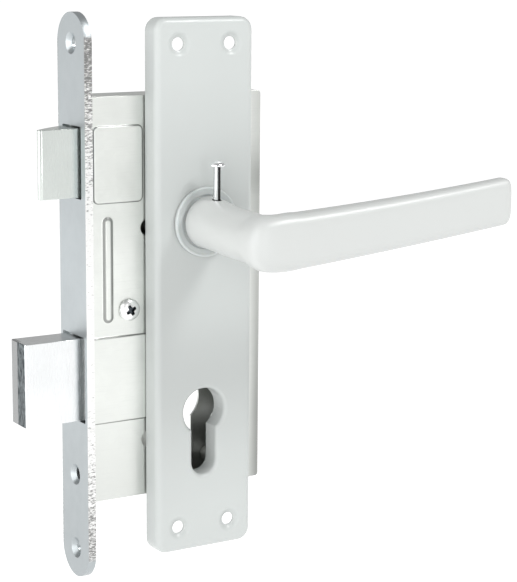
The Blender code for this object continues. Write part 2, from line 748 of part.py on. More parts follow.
def bend_rings(arm_z):
    """Rings fanned round the inside of the bend, from across the neck to across the arm."""
    neck_span = BEND_INNER_R + 2 * NECK_R
    arm_span = BEND_INNER_R + 2 * ARM_HALF_START[0]
    pivot_x = BACKSET + BEND_INNER_R + NECK_R
    pivot_y = ARM_Y + BEND_INNER_R + ARM_HALF_START[0]
    steps = 10
    rings = []
    for step in range(steps + 1):
        share = step / steps
        c, s = cos(pi / 2 * share), sin(pi / 2 * share)
        span = ((c / neck_span) ** CORNER_POWER + (s / arm_span) ** CORNER_POWER) ** (-1 / CORNER_POWER)
        half_across = (span - BEND_INNER_R) / 2
        middle = BEND_INNER_R + half_across
        x, y = pivot_x - middle * c, pivot_y - middle * s
        turn = sin(pi / 2 * share)
        z = blend(NECK_BEND_Z, arm_z(x), turn)
        half_up = blend(NECK_WAIST[2], ARM_HALF_START[1], turn) + BEND_SWELL * sin(pi * share)
        power = blend(2.0, SECTION_POWER, turn)
        rings.append(superellipse((x, y, z), (c, s, 0), half_across, half_up, power))
    return rings, pivot_x


def arm_rings(arm_z, start_x):
    """The arm, which thins towards a rounded tip."""
    tip_start = ARM_END_X - TIP_ROUND
    rings = []
    for share in (0.1, 0.25, 0.5, 0.75, 1.0):
        x = blend(start_x, tip_start, share)
        across = blend(ARM_HALF_START[0], ARM_HALF_END[0], share)
        up = blend(ARM_HALF_START[1], ARM_HALF_END[1], share) - ARM_WAIST * 4 * share * (1 - share)
        rings.append(superellipse((x, ARM_Y, arm_z(x)), (0, 1, 0), across, up, SECTION_POWER))
    for step in (1, 2, 3, 4):
        angle = pi / 2 * step / 4
        x = tip_start + TIP_ROUND * sin(angle)
        shrink = 2.4 * (1 - cos(angle))
        across, up = ARM_HALF_END[0] - shrink, ARM_HALF_END[1] - shrink
        rings.append(superellipse((x, ARM_Y, arm_z(x)), (0, 1, 0), across, up, SECTION_POWER))
    return rings


def lever_rings():
    """Journal, neck, bend and arm as rings along the lever's centre line."""

    def arm_z(x):
        share = (x - BACKSET) / (ARM_END_X - BACKSET)
        return blend(ARM_START_Z, ARM_END_Z, share) - ARM_SAG * 4 * share * (1 - share)

    bend, arm_x = bend_rings(arm_z)
    return neck_rings() + bend + arm_rings(arm_z, arm_x)


def make_lever():
    axis = (BACKSET, 0, SPINDLE_Z)
    lever = part("lever_handle", loft(lever_rings()), "white_paint", axis)
    cut(lever, "socket", prism("Y", [socket_loop()], SPINDLE_FRONT_Y - 0.6, -9.0))
    bore = rod("Z", (BACKSET, PIN_Y, 0), PIN_HOLE_R, SPINDLE_Z - 8.4, SPINDLE_Z + 14.0, 20)
    cut(lever, "pin_hole", bore)
    half = SPINDLE_HALF
    spindle = part(
        "spindle",
        box(
            (BACKSET - half, BACKSET + half),
            (SPINDLE_FRONT_Y, SPINDLE_BACK_Y),
            (SPINDLE_Z - half, SPINDLE_Z + half),
        ),
        "steel_inner",
        axis,
    )
    bevel = spindle.modifiers.new("corners", "BEVEL")
    bevel.width = 0.5 * MM
    bevel.segments = 1
    cut(spindle, "pin_hole", rod("Z", (BACKSET, PIN_Y, 0), PIN_HOLE_R, SPINDLE_Z - 6, SPINDLE_Z + 6, 20))


def make_handle_pin():
    """A mushroom-headed drive pin that stands out of the neck before it is pushed home."""
    tip = PIN_TIP_Z - PIN_HEAD_Z
    profile = dome(PIN_HEAD_R, 0.7, 1.3) + [
        (PIN_HEAD_R, 0.3),
        (PIN_HEAD_R - 0.4, 0.0),
        (PIN_R, 0.0),
        (PIN_R, tip + 1.0),
        (PIN_R / 2, tip),
        (0.0, tip),
    ]
    pin = turned("handle_pin", profile, "chrome", (BACKSET, PIN_Y, PIN_HEAD_Z), steps=20)
    pin.rotation_euler = (0.0, 0.0, 0.0)


def shade_turned():
    for obj in collection(PARTS).objects:
        if obj.type == "MESH":
            obj.data.shade_smooth()
            obj.data.set_sharp_from_angle(angle=radians(35))


def main():
    clear_scene()
    make_forend()
    make_case_body()
    make_case_cover()
    make_cover_screws()
    make_latch()
    make_follower()
    make_deadbolt()
    make_tumbler()
    make_backplate()
    make_neck_collar()
    make_lever()
    make_handle_pin()
    shade_turned()


main()
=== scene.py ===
"""Looks for a mortise sash lock with a white lever handle on a long backplate.

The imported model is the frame. The pieces that show and the three springs are modelled again here
with their real roundings, and ride on the same bodies. The others keep their shape and get a finish.
Shapes are worked out in millimetres and turned into metres by MM.
"""

import json
from math import asin, cos, pi, radians, sin

import bmesh
import bpy
from mathutils import Matrix, Vector


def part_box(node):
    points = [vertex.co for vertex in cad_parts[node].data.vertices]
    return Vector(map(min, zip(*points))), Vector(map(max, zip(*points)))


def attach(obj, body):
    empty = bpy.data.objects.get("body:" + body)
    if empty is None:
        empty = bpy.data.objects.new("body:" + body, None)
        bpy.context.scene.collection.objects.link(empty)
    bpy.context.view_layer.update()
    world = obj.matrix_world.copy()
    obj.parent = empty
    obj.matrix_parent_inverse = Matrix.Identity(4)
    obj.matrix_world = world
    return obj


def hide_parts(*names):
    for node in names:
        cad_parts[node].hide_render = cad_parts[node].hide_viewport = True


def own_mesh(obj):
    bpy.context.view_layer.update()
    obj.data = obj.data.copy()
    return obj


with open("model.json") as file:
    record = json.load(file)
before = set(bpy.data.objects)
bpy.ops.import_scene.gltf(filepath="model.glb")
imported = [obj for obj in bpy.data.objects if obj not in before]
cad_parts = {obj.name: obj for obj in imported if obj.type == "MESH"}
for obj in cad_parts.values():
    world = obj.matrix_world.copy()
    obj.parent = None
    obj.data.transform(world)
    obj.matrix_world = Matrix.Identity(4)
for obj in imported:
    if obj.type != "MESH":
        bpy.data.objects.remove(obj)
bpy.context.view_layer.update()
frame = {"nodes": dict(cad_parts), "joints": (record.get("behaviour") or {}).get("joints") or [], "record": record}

MM = 0.001
RECORD = frame["record"]


def box_mm(node):
    low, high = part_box(node)
    return low / MM, high / MM


def opening_centre(name):
    """The middle of one of the record's stated openings, in millimetres."""
    low, high = next(o["box_m"] for o in RECORD["physics"]["openings"] if o["name"] == name)
    return (Vector(low) + Vector(high)) / 2 / MM


# Places read from the frame, in millimetres

FOREND_LOW, FOREND_HIGH = box_mm("forend")
COVER_LOW, COVER_HIGH = box_mm("case_cover")
BODY_LOW, BODY_HIGH = box_mm("case_body")
PLATE_LOW, PLATE_HIGH = box_mm("backplate")
LEVER_HIGH = box_mm("lever_handle")[1]
COLLAR_HIGH = box_mm("neck_collar")[1]
BOLT_LOW, BOLT_HIGH = box_mm("deadbolt")
LATCH_LOW, LATCH_HIGH = box_mm("latch_bolt")
PIN_LOW, PIN_HIGH = box_mm("handle_pin")
PIN_X = (PIN_LOW.x + PIN_HIGH.x) / 2
PIN_Y = (PIN_LOW.y + PIN_HIGH.y) / 2
SPINDLE_LOW = box_mm("spindle")[0]

LEVER_AXIS = Vector(next(j["pos_m"] for j in frame["joints"] if j["name"] == "lever_turn")) / MM
AXIS_X, AXIS_Z = LEVER_AXIS.x, LEVER_AXIS.z
KEY = opening_centre("keyhole_barrel")
FIXING_HOLES = [
    opening_centre(f"case_fixing_{place}")
    for place in ("upper_left", "upper_right", "lower_left", "lower_right")
]
SCREWS = []
for number in (1, 2, 3):
    screw_low, screw_high = box_mm(f"cover_screw_{number}")
    SCREWS.append((screw_low + screw_high) / 2)

LATCH_Z = (LATCH_LOW.z + LATCH_HIGH.z) / 2
BOLT_Z = (BOLT_LOW.z + BOLT_HIGH.z) / 2
BOLT_HALF_Z = (BOLT_HIGH.z - BOLT_LOW.z) / 2
BOLT_HALF_Y = BOLT_HIGH.y

# Driving sizes that several pieces share, in millimetres

PAD_HEIGHT = 0.5
SKIN_Y = COVER_LOW.y + PAD_HEIGHT
SCREW_SEAT = SKIN_Y - 0.3
PIN_CROWN = 2.0
LATCH_HALF = 12.5
FIXING_R = 3.2
HUB_HOLE_R = 8.6
CYLINDER_SCREW_Z = KEY.z - 22.0

EURO_CIRCLE_R = 8.5
EURO_SLOT_HALF = 5.0
EURO_HEIGHT = 33.0
CASE_KEYHOLE_PLAY = 2.0
PLATE_KEYHOLE_PLAY = 0.1
KEYHOLE_WALL = 1.4


# Outlines, as loops of pairs


def blend(start, end, share):
    """The value at a share of the way from start to end."""
    return start + (end - start) * share


def arc(centre, radius, start, end, steps):
    """Points on an arc between two angles in degrees, both ends included."""
    angles = [radians(blend(start, end, i / steps)) for i in range(steps + 1)]
    return [(centre[0] + radius * cos(a), centre[1] + radius * sin(a)) for a in angles]


def circle(centre, radius, steps=48):
    return arc(centre, radius, 0, 360 * (steps - 1) / steps, steps - 1)


def rounded_rectangle(low, high, radius, steps=8):
    corners = (
        ((high[0] - radius, high[1] - radius), 0),
        ((low[0] + radius, high[1] - radius), 90),
        ((low[0] + radius, low[1] + radius), 180),
        ((high[0] - radius, low[1] + radius), 270),
    )
    return [p for centre, start in corners for p in arc(centre, radius, start, start + 90, steps)]


def upright_slot(x, low, high, radius, steps=16):
    top = arc((x, high - radius), radius, 0, 180, steps)
    return top + arc((x, low + radius), radius, 180, 360, steps)


def euro_profile(grow=0.0):
    """The euro cylinder's outline at the key place, grown all round."""
    circle_r = EURO_CIRCLE_R + grow
    half = EURO_SLOT_HALF + grow
    neck = asin(half / circle_r) * 180 / pi
    foot = (KEY.x, KEY.z + EURO_CIRCLE_R - EURO_HEIGHT + EURO_SLOT_HALF)
    return arc((KEY.x, KEY.z), circle_r, neck - 90, 270 - neck, 40) + arc(foot, half, 180, 360, 20)


def at_y(loop, y):
    """Lifts (x, z) pairs to points at one y."""
    return [(x, y, z) for x, z in loop]


def quarter(steps):
    """(how far in, how far up) shares of a quarter round, from its foot to its crown."""
    return [(1 - cos(pi / 2 * i / steps), sin(pi / 2 * i / steps)) for i in range(steps + 1)]


# Meshes and objects


def mesh_from(builder):
    mesh = bpy.data.meshes.new("mesh")
    builder.to_mesh(mesh)
    builder.free()
    return mesh


def loft(rings, closed=False):
    """A skin through rings of equal count, capped at both ends or closed on itself."""
    builder = bmesh.new()
    rows = [[builder.verts.new(Vector(point) * MM) for point in ring] for ring in rings]
    count = len(rows[0])
    pairs = list(zip(rows, rows[1:]))
    if closed:
        pairs.append((rows[-1], rows[0]))
    for lower, upper in pairs:
        for i in range(count):
            j = (i + 1) % count
            builder.faces.new((lower[i], lower[j], upper[j], upper[i]))
    if not closed:
        builder.faces.new(list(reversed(rows[0])))
        builder.faces.new(rows[-1])
    bmesh.ops.recalc_face_normals(builder, faces=builder.faces)
    return mesh_from(builder)


AXIS_TURNS = {
    "X": Matrix(((0, 0, 1, 0), (1, 0, 0, 0), (0, 1, 0, 0), (0, 0, 0, 1))),
    "Y": Matrix.Rotation(pi / 2, 4, "X"),
    "Z": Matrix.Identity(4),
}


def prism(axis, loops, low, high):
    """A flat outline with holes, extruded along X, Y or Z. Loops hold (y, z), (x, z) or (x, y) pairs."""
    curve = bpy.data.curves.new("outline", "CURVE")
    curve.dimensions = "2D"
    curve.fill_mode = "BOTH"
    curve.extrude = (high - low) / 2 * MM
    for loop in loops:
        spline = curve.splines.new("POLY")
        spline.points.add(len(loop) - 1)
        for point, (across, up) in zip(spline.points, loop):
            point.co = (across * MM, up * MM, 0.0, 1.0)
        spline.use_cyclic_u = True
    holder = bpy.data.objects.new("outline", curve)
    bpy.context.scene.collection.objects.link(holder)
    evaluated = holder.evaluated_get(bpy.context.evaluated_depsgraph_get())
    mesh = bpy.data.meshes.new_from_object(evaluated)
    bpy.data.objects.remove(holder, do_unlink=True)
    bpy.data.curves.remove(curve)
    middle = Vector([(low + high) / 2 * MM if axis == name else 0.0 for name in "XYZ"])
    mesh.transform(Matrix.Translation(middle) @ AXIS_TURNS[axis])
    builder = bmesh.new()
    builder.from_mesh(mesh)
    bmesh.ops.remove_doubles(builder, verts=builder.verts, dist=1e-6)
    bmesh.ops.recalc_face_normals(builder, faces=builder.faces)
    builder.to_mesh(mesh)
    builder.free()
    return mesh


def block(x, y, z):
    """A box from a (low, high) pair along each axis."""
    builder = bmesh.new()
    bmesh.ops.create_cube(builder, size=MM)
    size = Vector((x[1] - x[0], y[1] - y[0], z[1] - z[0]))
    centre = Vector((x[0] + x[1], y[0] + y[1], z[0] + z[1])) * MM / 2
    bmesh.ops.scale(builder, vec=size, verts=builder.verts)
    bmesh.ops.translate(builder, vec=centre, verts=builder.verts)
    return mesh_from(builder)


def turned(centre, profile, axis="Y", steps=64, closed=False):
    """A body turned about an axis. The profile is (radius, distance towards -Y or +Z) pairs."""
    rings = []
    for radius, height in profile:
        points = circle((0.0, 0.0), max(radius, 0.01), steps)
        if axis == "Y":
            rings.append([(centre[0] + a, centre[1] - height, centre[2] + b) for a, b in points])
        else:
            rings.append([(centre[0] + a, centre[1] + b, centre[2] + height) for a, b in points])
    return loft(rings, closed)


def new_object(name, mesh):
    obj = bpy.data.objects.new(name, mesh)
    bpy.context.scene.collection.objects.link(obj)
    return obj


def settle(obj):
    """Applies the object's modifiers, so that its mesh is final."""
    evaluated = obj.evaluated_get(bpy.context.evaluated_depsgraph_get())
    mesh = bpy.data.meshes.new_from_object(evaluated)
    obj.modifiers.clear()
    obj.data = mesh


def combine(obj, mesh, operation):
    tool = new_object("tool", mesh)
    modifier = obj.modifiers.new("combine", "BOOLEAN")
    modifier.operation = operation
    modifier.solver = "EXACT"
    modifier.object = tool
    settle(obj)
    bpy.data.objects.remove(tool, do_unlink=True)


def cut(obj, *meshes):
    for mesh in meshes:
        combine(obj, mesh, "DIFFERENCE")


def join(obj, *meshes):
    for mesh in meshes:
        combine(obj, mesh, "UNION")


def round_edges(obj, width, segments=2, angle=40):
    """Rounds the edges that turn by more than an angle in degrees. The width is in millimetres."""
    bevel = obj.modifiers.new("round", "BEVEL")
    bevel.width = width * MM
    bevel.segments = segments
    bevel.limit_method = "ANGLE"
    bevel.angle_limit = radians(angle)
    bevel.use_clamp_overlap = True
    settle(obj)


def is_square(face):
    """True for a face that looks straight along one of the axes."""
    return max(abs(value) for value in face.normal) > 0.9999


def shade(obj, angle=50):
    """Smooth shading with creases, and true flat normals on the faces square to the axes."""
    least_turn = radians(1.0)
    mesh = obj.data
    mesh.shade_smooth()
    builder = bmesh.new()
    builder.from_mesh(mesh)
    for edge in builder.edges:
        faces = edge.link_faces
        if len(faces) != 2:
            continue
        turn = faces[0].normal.angle(faces[1].normal, pi)
        beside_flat = any(is_square(face) for face in faces) and turn > least_turn
        edge.smooth = turn < radians(angle) and not beside_flat
    builder.to_mesh(mesh)
    builder.free()
    normals = [corner.vector.copy() for corner in mesh.corner_normals]
    for face in mesh.polygons:
        if is_square(face):
            for index in face.loop_indices:
                normals[index] = face.normal.copy()
    mesh.normals_split_custom_set(normals)


def finish_piece(obj, body, slot, surface, *nodes):
    """Gives a piece its material and its body, and hides the CAD nodes that it stands for."""
    obj.data.materials.clear()
    obj.data.materials.append(surface)
    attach(obj, body)
    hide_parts(*nodes)
    return obj


# Materials


class Surface:
    """A node material built from a few short calls. Coordinates are metres at rest."""

    def __init__(self, name, metallic, **fixed):
        self.material = bpy.data.materials.new(name)
        self.material.use_nodes = True
        self.tree = self.material.node_tree
        self.shader = self.tree.nodes["Principled BSDF"]
        self.shader.inputs["Metallic"].default_value = metallic
        for label, value in fixed.items():
            self.shader.inputs[label.replace("_", " ")].default_value = value
        self.coords = self.node("TexCoord").outputs["Object"]
        self.normal = None

    def node(self, kind, inputs=None, **settings):
        made = self.tree.nodes.new("ShaderNode" + kind)
        for key, value in settings.items():
            setattr(made, key, value)
        for label, value in (inputs or {}).items():
            if isinstance(value, bpy.types.NodeSocket):
                self.tree.links.new(value, made.inputs[label])
            else:
                made.inputs[label].default_value = value
        return made

    def stretched(self, stretch):
        """Coordinates scaled along X, Y and Z, for grain that runs one way."""
        mapping = self.node("Mapping", {"Vector": self.coords})
        mapping.inputs["Scale"].default_value = stretch
        return mapping.outputs["Vector"]

    def noise(self, size, detail=2.0, stretch=(1, 1, 1), roughness=0.5):
        """Noise with features of about a size in millimetres, from 0 to 1."""
        inputs = {
            "Vector": self.stretched(stretch),
            "Scale": 1 / (size * MM),
            "Detail": detail,
            "Roughness": roughness,
        }
        return self.node("TexNoise", inputs).outputs["Fac"]

    def clouds(self, size, detail=2.0, start=0.0, end=1.0):
        """Soft noise spread between two values."""
        return self.remap(self.noise(size, detail), 0.3, 0.7, start, end)

    def cells(self, size):
        """A random grey for each crystal of about a size in millimetres."""
        inputs = {"Vector": self.coords, "Scale": 1 / (size * MM)}
        colour = self.node("TexVoronoi", inputs).outputs["Color"]
        return self.node("SeparateColor", {"Color": colour}).outputs["Red"]

    def remap(self, value, low, high, start=0.0, end=1.0):
        """Turns the range low to high into start to end, and clamps outside it."""
        inputs = {"Value": value, "From Min": low, "From Max": high, "To Min": start, "To Max": end}
        return self.node("MapRange", inputs).outputs["Result"]

    def math(self, operation, first, second=0.0):
        return self.node("Math", {0: first, 1: second}, operation=operation).outputs[0]

    def place(self, axis):
        """The place along an axis, in metres."""
        return self.node("SeparateXYZ", {"Vector": self.coords}).outputs[axis]

    def band(self, axis, low, high, soft=0.1):
        """1 between two places on an axis in millimetres, and 0 outside them."""
        value = self.place(axis)
        rise = self.remap(value, (low - soft) * MM, low * MM)
        fall = self.remap(value, high * MM, (high + soft) * MM, 1.0, 0.0)
        return self.math("MULTIPLY", rise, fall)

    def mix(self, share, first, second):
        """The first colour where the share is 0, the second where it is 1."""
        made = self.node("Mix", data_type="RGBA", clamp_factor=True)
        colour_a, colour_b = made.inputs[6], made.inputs[7]
        for socket, value in ((made.inputs[0], share), (colour_a, first), (colour_b, second)):
            if isinstance(value, bpy.types.NodeSocket):
                self.tree.links.new(value, socket)
            elif isinstance(value, tuple):
                socket.default_value = (*value, 1.0)
            else:
                socket.default_value = value
        return made.outputs[2]

    def bump(self, height, depth, strength=1.0):
        """Adds relief with a depth in millimetres."""
        inputs = {"Height": height, "Distance": depth * MM, "Strength": strength}
        if self.normal is not None:
            inputs["Normal"] = self.normal
        self.normal = self.node("Bump", inputs).outputs["Normal"]

    def done(self, colour, roughness):
        """Plugs the colour, roughness and relief into the shader."""
        links = [("Base Color", colour), ("Roughness", roughness)]
        if self.normal is not None:
            links.append(("Normal", self.normal))
        for label, socket in links:
            self.tree.links.new(socket, self.shader.inputs[label])
        return self.material


def scaled(colour, factor):
    return tuple(min(channel * factor, 1.0) for channel in colour)


def powder_coat(name, colour, middle=1.0):
    """White satin powder coat: orange peel, faint shade drift and dust, and painted shade that darkens the middle.
    """
    s = Surface(name, 0.0, Coat_Weight=0.12, Coat_Roughness=0.25, IOR=1.5)
    drift = s.clouds(38.0, 3.0)
    tone = s.mix(drift, scaled(colour, 0.985), scaled(colour, 1.01))
    # painted shade: the middle of the height is darkened by the middle factor
    painted_mid_shade = s.remap(s.math("ABSOLUTE", s.place("Z")), 0.02, 0.08, 1.0, 0.0)
    tone = s.mix(painted_mid_shade, tone, scaled(colour, middle))
    dust = s.remap(s.noise(0.5, 1.0), 0.70, 0.78, 0.0, 0.25)
    tone = s.mix(dust, tone, scaled(colour, 0.86))
    s.bump(s.noise(1.3, 2.0), 0.02)
    s.bump(s.noise(0.25, 1.0), 0.004)
    return s.done(tone, s.clouds(6.0, 2.0, 0.33, 0.42))


def nylon(name, colour):
    """Moulded nylon with a slight mould texture."""
    s = Surface(name, 0.0, Subsurface_Weight=0.05, IOR=1.53)
    tone = s.mix(s.clouds(9.0), scaled(colour, 0.97), colour)
    s.bump(s.noise(0.35, 2.0), 0.01)
    return s.done(tone, s.clouds(1.5, 2.0, 0.42, 0.55))


def zinc_sheet(name, colour):
    """Zinc-plated pressed sheet: rolling lines and faint crystals, with painted shade on the pressed pad flanks,
    towards the bottom and along the back edge low down.
    """
    s = Surface(name, 1.0)
    clouds = s.clouds(16.0, 4.0)
    tone = s.mix(clouds, scaled(colour, 0.94), scaled(colour, 1.03))
    crystals = s.remap(s.cells(2.6), 0.0, 1.0, 0.0, 0.35)
    tone = s.mix(crystals, tone, scaled(colour, 0.93))
    lines = s.noise(0.5, 3.0, (0.04, 1.0, 1.0))
    tone = s.mix(s.remap(lines, 0.55, 0.72, 0.0, 0.30), tone, scaled(colour, 0.88))
    # painted shade: the sheet darkens towards its bottom
    painted_foot_shade = s.remap(s.place("Z"), -0.07, -0.035, 0.55, 0.0)
    tone = s.mix(painted_foot_shade, tone, scaled(colour, 0.72))
    # painted shade: the flanks of the pressed pads are darkened to a dark outline
    pressed = s.band("Y", SKIN_Y - 0.44, SKIN_Y - 0.10, 0.05)
    tone = s.mix(s.math("MULTIPLY", pressed, 0.8), tone, scaled(colour, 0.25))
    # painted shade: the strip by the back edge darkens towards the edge, most strongly low down
    painted_back_shade = s.remap(s.place("X"), (BODY_HIGH.x - 6.0) * MM, (BODY_HIGH.x - 1.0) * MM, 0.0, 0.95)
    low_down = s.remap(s.place("Z"), -0.05, 0.06, 1.0, 0.3)
    tone = s.mix(s.math("MULTIPLY", painted_back_shade, low_down), tone, scaled(colour, 0.38))
    s.bump(lines, 0.006)
    s.bump(s.noise(3.5, 3.0), 0.02)
    rough = s.math("ADD", s.remap(clouds, 0.0, 1.0, 0.30, 0.40), s.remap(lines, 0.4, 0.7, 0.0, 0.06))
    return s.done(tone, rough)


def zinc_forend(name, colour, edge_colour):
    """The forend's bluish zinc plate, with torn flecks on its sheared edges."""
    s = Surface(name, 1.0)
    tone = s.mix(s.clouds(24.0, 4.0), scaled(colour, 0.95), scaled(colour, 1.03))
    grain = s.noise(0.35, 3.0, (1.0, 1.0, 0.05))
    tone = s.mix(s.remap(grain, 0.52, 0.70, 0.0, 0.25), tone, scaled(colour, 0.86))
    dull = scaled(colour, 0.72)
    tone = s.mix(s.remap(s.place("Z"), -0.09, 0.01, 0.8, 0.0), tone, dull)
    tone = s.mix(s.remap(s.place("Z"), 0.02, 0.08, 0.0, 0.25), tone, dull)
    half = (FOREND_HIGH.y - FOREND_LOW.y) / 2
    side = s.remap(s.math("ABSOLUTE", s.place("Y")), (half - 0.45) * MM, (half - 0.15) * MM)
    towards_ends = s.remap(s.math("ABSOLUTE", s.place("Z")), 0.025, 0.09, -0.08, 0.15)
    towards_top = s.remap(s.place("Z"), -0.09, 0.09, -0.04, 0.03)
    amount = s.math("ADD", towards_ends, towards_top)
    flecks = s.remap(s.math("ADD", s.noise(0.7, 4.0, (0.5, 1.0, 1.5), 0.7), amount), 0.52, 0.66)
    torn = s.mix(flecks, edge_colour, scaled(edge_colour, 0.28))
    tone = s.mix(side, tone, torn)
    s.bump(grain, 0.006)
    s.bump(s.math("MULTIPLY", flecks, side), 0.08, 0.7)
    return s.done(tone, s.clouds(5.0, 2.0, 0.34, 0.44))


def brushed_nickel(name, colour):
    """A surface of brushed nickel plating, with its colour and roughness."""
    s = Surface(name, 1.0)
    brushed = s.noise(0.28, 3.0, (1.0, 1.0, 0.04))
    tone = s.mix(s.clouds(12.0, 3.0), scaled(colour, 0.96), scaled(colour, 1.02))
    tone = s.mix(s.remap(brushed, 0.5, 0.7, 0.0, 0.18), tone, scaled(colour, 0.85))
    s.bump(brushed, 0.0015)
    return s, tone, s.remap(brushed, 0.3, 0.7, 0.20, 0.30)


def latch_metal(name, colour):
    """The latch's plain brushed nickel."""
    s, tone, rough = brushed_nickel(name, colour)
    return s.done(tone, rough)


def deadbolt_metal(name, colour):
    """Brushed nickel, with a dark, roughly milled band on the near side of the bolt's end, and painted shade on
    the far side of the end.
    """
    s, tone, rough = brushed_nickel(name, colour)
    end_x, band_edge = BOLT_LOW.x, -BOLT_HALF_Y + 6.2
    far_side = s.remap(s.place("Y"), (band_edge - 0.5) * MM, (band_edge + 0.5) * MM)
    # painted shade: the far side of the end and the sides just behind it are darkened as if rounded
    painted_end_shade = s.band("X", end_x - 1.0, end_x + 1.4, 0.15)
    tone = s.mix(s.math("MULTIPLY", painted_end_shade, far_side), tone, scaled(colour, 0.45))
    flat_end = s.band("X", end_x - 1.0, end_x + 0.12, 0.15)
    near_side = s.band("Y", -BOLT_HALF_Y + 0.5, band_edge, 0.5)
    milled = s.math("MULTIPLY", flat_end, near_side)
    scores = s.remap(s.noise(0.9, 5.0, (1.0, 1.0, 0.3), 0.75), 0.42, 0.60)
    dark = s.mix(scores, (0.025, 0.035, 0.04), (0.26, 0.29, 0.30))
    tone = s.mix(milled, tone, dark)
    s.bump(s.math("MULTIPLY", scores, milled), 0.12, 0.8)
    return s.done(tone, s.math("ADD", rough, s.math("MULTIPLY", milled, 0.2)))


def inner_steel(name, colour):
    """Plain stamped steel with a film of oil and some stains."""
    s = Surface(name, 1.0)
    stains = s.remap(s.noise(5.0, 5.0), 0.42, 0.62)
    tone = s.mix(stains, scaled(colour, 0.75), scaled(colour, 1.08))
    lines = s.noise(0.4, 3.0, (0.06, 1.0, 1.0))
    s.bump(lines, 0.01)
    return s.done(tone, s.remap(stains, 0.0, 1.0, 0.30, 0.48))


def spring_wire(name, colour):
    """Drawn spring wire, dark and lightly scored."""
    s = Surface(name, 1.0)
    scale = s.remap(s.noise(0.8, 4.0), 0.4, 0.65)
    tone = s.mix(scale, scaled(colour, 0.7), scaled(colour, 1.3))
    s.bump(s.noise(0.2, 2.0), 0.005)
    return s.done(tone, s.remap(scale, 0.0, 1.0, 0.28, 0.42))


def chrome(name, colour):
    """Polished chrome with hairline rub marks. A painted dark reflection blackens the shank on the side near the
    grip.
    """
    s = Surface(name, 1.0)
    rubs = s.noise(0.15, 3.0, (1.0, 1.0, 0.1))
    tone = s.mix(s.remap(rubs, 0.6, 0.75, 0.0, 0.3), colour, scaled(colour, 0.9))
    # painted reflection: one side of the shank below the head is painted near black
    across = s.math("MULTIPLY", s.math("SUBTRACT", s.place("X"), PIN_X * MM), 0.85)
    out = s.math("MULTIPLY", s.math("SUBTRACT", s.place("Y"), PIN_Y * MM), 0.52)
    dark_side = s.remap(s.math("SUBTRACT", across, out), 0.35 * MM, 0.5 * MM)
    head_z = PIN_HIGH.z - PIN_CROWN
    shank = s.remap(s.place("Z"), (head_z - 0.1) * MM, head_z * MM, 1.0, 0.0)
    painted_dark_reflection = (0.012, 0.012, 0.013)
    tone = s.mix(s.math("MULTIPLY", dark_side, shank), tone, painted_dark_reflection)
    s.bump(rubs, 0.001)
    return s.done(tone, s.remap(rubs, 0.4, 0.8, 0.04, 0.10))


def bright_screw(name, colour, places):
    """Bright zinc screw metal, with painted shade in the recess of each head."""
    shade_top, shade_full = SCREW_SEAT - 1.86, SCREW_SEAT - 1.7
    recess_r, fade_r = 2.3, 2.5
    s = Surface(name, 1.0)
    stains = s.remap(s.noise(1.6, 4.0), 0.42, 0.64)
    tone = s.mix(stains, scaled(colour, 0.93), colour)
    # painted shade: the recess of each head is darkened below its rim
    inside = s.remap(s.place("Y"), shade_top * MM, shade_full * MM)
    near = 0.0
    for place in places:
        across = s.math("POWER", s.math("SUBTRACT", s.place("X"), place.x * MM), 2.0)
        along = s.math("POWER", s.math("SUBTRACT", s.place("Z"), place.z * MM), 2.0)
        distance = s.math("SQRT", s.math("ADD", across, along))
        near = s.math("MAXIMUM", s.remap(distance, recess_r * MM, fade_r * MM, 1.0, 0.0), near)
    painted_recess_shade = (0.07, 0.08, 0.09)
    tone = s.mix(s.math("MULTIPLY", inside, near), tone, painted_recess_shade)
    s.bump(s.noise(0.22, 2.0), 0.001)
    return s.done(tone, s.remap(stains, 0.0, 1.0, 0.28, 0.38))


SURFACES = {
    "zinc_forend": zinc_forend("forend_zinc", (0.535, 0.575, 0.59), (0.84, 0.84, 0.83)),
    "zinc_sheet": zinc_sheet("case_zinc", (0.78, 0.80, 0.77)),
    "bright_zinc": bright_screw("screw_zinc", (0.95, 0.96, 0.95), SCREWS),
    "deadbolt": deadbolt_metal("deadbolt_nickel", (0.78, 0.795, 0.80)),
    "latch": latch_metal("latch_nickel", (0.63, 0.665, 0.64)),
    "steel_inner": inner_steel("inner_steel_oiled", (0.42, 0.42, 0.41)),
    "spring_steel": spring_wire("spring_wire_dark", (0.25, 0.26, 0.28)),
    # the 0.90 paints shade across the middle of the plate
    "white_plate": powder_coat("plate_powder_coat", (0.505, 0.53, 0.52), 0.90),
    "white_lever": powder_coat("lever_powder_coat", (0.535, 0.55, 0.54)),
    "white_nylon": nylon("collar_nylon", (0.53, 0.55, 0.54)),
    "chrome": chrome("pin_chrome", (0.93, 0.94, 0.95)),
}


# Case pieces


def make_forend():
    """The round-ended face plate, with windows for the two bolts and three countersunk holes."""
    half = (FOREND_HIGH.y - FOREND_LOW.y) / 2
    thick = FOREND_HIGH.x
    slack, window_corner, screw_z = 0.6, 0.7, 94.0
    loops = [upright_slot(0.0, FOREND_LOW.z, FOREND_HIGH.z, half, 28)]
    for centre_z, half_z, half_y in ((LATCH_Z, LATCH_HALF, 7.5), (BOLT_Z, BOLT_HALF_Z, 9.0)):
        low = (-half_y, centre_z - half_z - slack)
        high = (half_y, centre_z + half_z + slack)
        loops.append(rounded_rectangle(low, high, window_corner, 4))
    forend = new_object("forend_plate", prism("X", loops, 0.0, thick))
    hole_r, sink_r, sink_end = 2.4, 4.9, 1.7
    stations = ((-1.0, sink_r), (sink_end, hole_r), (thick + 1.0, hole_r))
    for z in (screw_z, -screw_z, CYLINDER_SCREW_Z):
        rings = [[(x, y, v) for y, v in circle((0.0, z), radius)] for x, radius in stations]
        cut(forend, loft(rings))
    round_edges(forend, 0.22, 2, 35)
    shade(forend)
    finish_piece(forend, "lock_case", "zinc_forend", SURFACES["zinc_forend"], "forend")


